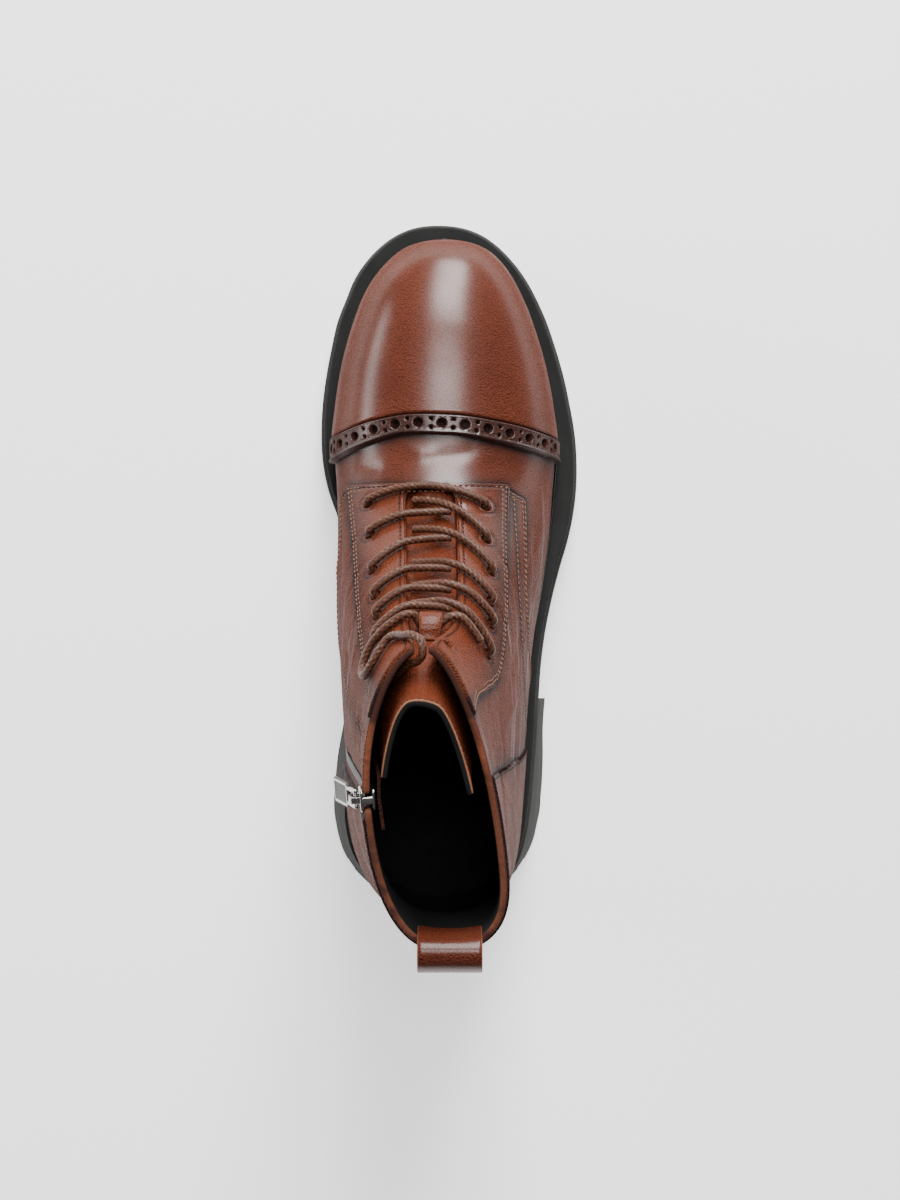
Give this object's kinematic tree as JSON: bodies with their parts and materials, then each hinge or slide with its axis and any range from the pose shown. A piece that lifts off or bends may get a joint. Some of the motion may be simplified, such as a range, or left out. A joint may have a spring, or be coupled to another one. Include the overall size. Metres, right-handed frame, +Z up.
{
  "type": "ankle boot",
  "caption": "Right lace-up ankle boot in burnished brown leather, with a brogued toe cap, an inner side zip and a lugged black rubber sole.",
  "frame": {"origin": "middle of the heel's ground face", "axes": "+X to the outer (lateral) side, +Y to the toe, +Z up"},
  "size_m": [0.1048, 0.2837, 0.1874],
  "materials": {
    "leather_brown": "burnished, semi-gloss",
    "leather_dark": "burnished, semi-gloss",
    "leather_lining": "matt black lining",
    "rubber_flange": "matt",
    "rubber_tread": "matt",
    "rubber_gloss": "gloss",
    "lace_waxed": "waxed braid",
    "zip_metal": "polished nickel plate"
  },
  "bodies": {
    "boot": {"outsole": "rubber_tread", "heel": "rubber_tread", "midsole": "rubber_flange", "bead": "rubber_gloss", "insole": "leather_lining", "upper": "leather_brown", "toe_cap": "leather_brown", "cap_band": "leather_dark", "eyestay_medial": "leather_brown", "eyestay_lateral": "leather_brown", "counter": "leather_brown", "tongue": "leather_brown", "lace_keeper": "leather_brown", "lace_row_1": "lace_waxed", "lace_row_2": "lace_waxed", "lace_row_3": "lace_waxed", "lace_row_4": "lace_waxed", "lace_row_5": "lace_waxed", "lace_row_6": "lace_waxed", "lace_bow": "lace_waxed", "zip_chain": "zip_metal", "zip_guard": "leather_brown", "zip_slider": "zip_metal", "pull_loop": "leather_brown"},
    "zip_tab": {"zip_pull": "zip_metal"}
  },
  "joints": [
    {"name": "zip_tab_swing", "type": "hinge", "parent": "boot", "child": "zip_tab", "pos_m": [-0.02846, 0.01946, 0.15891], "axis": [-0.0739, 0.9888, 0.1297], "range_deg": [0, 150]}
  ]
}
